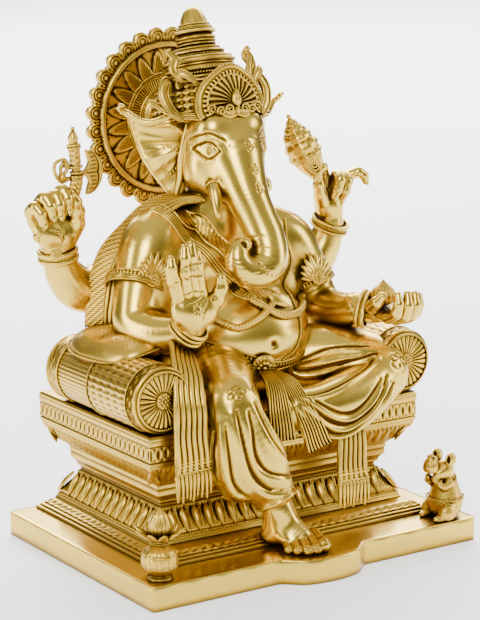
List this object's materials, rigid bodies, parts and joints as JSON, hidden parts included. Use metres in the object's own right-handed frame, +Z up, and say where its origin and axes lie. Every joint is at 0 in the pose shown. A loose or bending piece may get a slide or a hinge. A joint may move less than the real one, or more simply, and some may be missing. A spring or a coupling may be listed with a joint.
{
  "type": "seated ganesha statue",
  "caption": "Large cast-brass seated Ganesha on a lotus throne with bolsters, halo disc, mouse and kalash, on a stepped plinth and moulded base plate.",
  "frame": {"origin": "centre of the base's footprint box, on its underside", "axes": "+Z up, -Y is the figure's front, +X is the figure's left hand side"},
  "size_m": [0.54, 0.426, 0.75],
  "materials": {
    "polished_brass": "hand-polished cast brass with darker antique tone left in its creases",
    "antique_brass": "chased and engraved cast brass, dark antique lacquer in the recesses and rubbed-bright high points",
    "steel_fastener": "plain hexagon steel bolt, hidden under the base"
  },
  "bodies": {
    "root": {"arm_front_left": "polished_brass", "arm_front_right": "polished_brass", "arm_rear_left": "polished_brass", "arm_rear_right": "polished_brass", "armlet_left": "antique_brass", "armlet_right": "antique_brass", "axe_blade": "antique_brass", "axe_shaft": "antique_brass", "bangle_front_left": "antique_brass", "bangle_front_right": "antique_brass", "bangle_rear_left": "antique_brass", "bangle_rear_right": "antique_brass", "base_plate": "polished_brass", "bolster_left": "antique_brass", "bolster_right": "antique_brass", "chest_sash": "antique_brass", "conch": "antique_brass", "crown_cap": "antique_brass", "crown_crest": "antique_brass", "crown_finial": "antique_brass", "crown_tower": "antique_brass", "dhoti_pleats": "polished_brass", "dhoti_swag": "polished_brass", "ear_left": "polished_brass", "ear_right": "polished_brass", "elbow_pillow": "antique_brass", "foot_right": "polished_brass", "halo_disc": "antique_brass", "halo_stem": "antique_brass", "hand_front_left": "polished_brass", "hand_front_right": "polished_brass", "hand_rear_left": "polished_brass", "hand_rear_right": "polished_brass", "head_and_trunk": "polished_brass", "kalash_bolt": "steel_fastener", "kalash_coconut": "antique_brass", "kalash_pot": "antique_brass", "leg_left_folded": "polished_brass", "leg_right_hanging": "polished_brass", "modak": "antique_brass", "mouse": "antique_brass", "mouse_bolt": "steel_fastener", "mouse_sweet": "antique_brass", "sash_tail_left": "antique_brass", "sash_tail_right": "antique_brass", "seat_cushion": "antique_brass", "shawl": "antique_brass", "throne_bolt_1": "steel_fastener", "throne_bolt_2": "steel_fastener", "throne_bolt_3": "steel_fastener", "throne_bolt_4": "steel_fastener", "throne_lower_lotus": "antique_brass", "throne_plinth": "antique_brass", "throne_seat_slab": "antique_brass", "throne_upper_lotus": "antique_brass", "throne_waist": "antique_brass", "torso": "polished_brass", "tusk_left": "polished_brass", "tusk_right": "polished_brass", "waist_belt": "antique_brass"}
  },
  "joints": []
}
